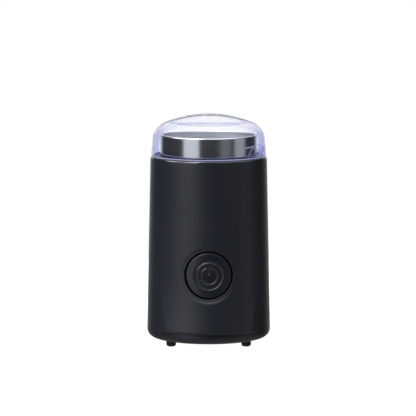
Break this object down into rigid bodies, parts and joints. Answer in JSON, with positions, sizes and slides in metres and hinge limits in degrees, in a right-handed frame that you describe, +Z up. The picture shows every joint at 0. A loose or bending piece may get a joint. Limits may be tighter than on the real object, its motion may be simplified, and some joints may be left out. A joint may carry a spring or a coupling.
{
  "type": "electric spice grinder",
  "caption": "Upright electric spice grinder: tapered dark housing with a round push button, fixed steel bowl with a spinning blade, and a clear lift-off lid that works a safety pin.",
  "frame": {"origin": "on the ground below the bowl's axis, midway between the chin's front and the cord inlet's back", "axes": "+Z up along the bowl's and the motor's axis; the front, with the button, faces -Y; +X is to the right"},
  "size_m": [0.092, 0.0972, 0.1712],
  "materials": {
    "dark_shell": "fine moulded satin",
    "dark_trim": "moulded satin",
    "button_black": "moulded satin",
    "clear_lid": "clear polished moulding",
    "bowl_steel": "spun brushed",
    "blade_steel": "ground",
    "screw_steel": "zinc plated",
    "lamination": "stacked laminations",
    "copper": "enamelled wire",
    "brass": "machined",
    "rubber": "moulded",
    "inner_plastic": "moulded",
    "pale_plastic": "moulded",
    "cast_metal": "die cast",
    "carbon": "pressed carbon",
    "lead_sleeve": "extruded sleeve"
  },
  "bodies": {
    "root": {"housing": "dark_shell", "base_cover": "dark_trim", "feet": "rubber", "base_screws": "screw_steel", "bowl_carrier": "inner_plastic", "carrier_screws": "screw_steel", "grinding_bowl": "bowl_steel", "bowl_bush": "cast_metal", "bowl_nut": "screw_steel", "shaft_seal": "rubber", "interlock_spring": "screw_steel", "interlock_switch": "inner_plastic", "interlock_screws": "screw_steel", "button_spring": "screw_steel", "main_switch": "inner_plastic", "switch_carrier": "inner_plastic", "switch_screws": "screw_steel", "upper_bracket": "cast_metal", "lower_bracket": "cast_metal", "upper_bearing": "brass", "lower_bearing": "brass", "upper_retainer": "screw_steel", "lower_retainer": "screw_steel", "motor_mounts": "rubber", "mount_screws": "screw_steel", "motor_screws": "screw_steel", "stator_stack": "lamination", "coil_bobbins": "pale_plastic", "field_coils": "copper", "brush_holders": "inner_plastic", "carbon_brushes": "carbon", "brush_springs": "screw_steel", "brush_caps": "brass", "cord_gland": "dark_trim", "cord_clamp": "inner_plastic", "clamp_screws": "screw_steel", "terminal_block": "pale_plastic", "terminal_screws": "screw_steel", "capacitor": "lead_sleeve", "thermal_cutout": "cast_metal", "leads": "lead_sleeve"},
    "lid": {"lid": "clear_lid"},
    "button": {"button_cap": "button_black", "button_stem": "pale_plastic", "button_clip": "screw_steel", "switch_plunger": "pale_plastic"},
    "interlock": {"interlock_pin": "pale_plastic"},
    "rotor": {"motor_shaft": "screw_steel", "rotor_stack": "lamination", "rotor_windings": "copper", "commutator": "brass", "cooling_fan": "pale_plastic", "blade_hub": "inner_plastic", "blade": "blade_steel", "blade_nut": "screw_steel"}
  },
  "joints": [
    {"name": "lid_lift", "type": "slide", "parent": "root", "child": "lid", "axis": [0, 0, 1], "range_m": [0, 0.06]},
    {"name": "button_press", "type": "slide", "parent": "root", "child": "button", "axis": [0, 1, 0], "range_m": [0, 0.003], "stiffness_N_per_m": 600, "springref_m": -0.004, "deforming": ["button_spring"]},
    {"name": "pin_rise", "type": "slide", "parent": "root", "child": "interlock", "axis": [0, 0, 1], "range_m": [0, 0.003], "deforming": ["interlock_spring"]},
    {"name": "blade_spin", "type": "hinge", "parent": "root", "child": "rotor", "pos_m": [0, 0, 0.09], "axis": [0, 0, 1], "continuous": true}
  ],
  "couplings": [
    {"joint": "pin_rise", "follows": "lid_lift", "ratio": 0.05}
  ]
}
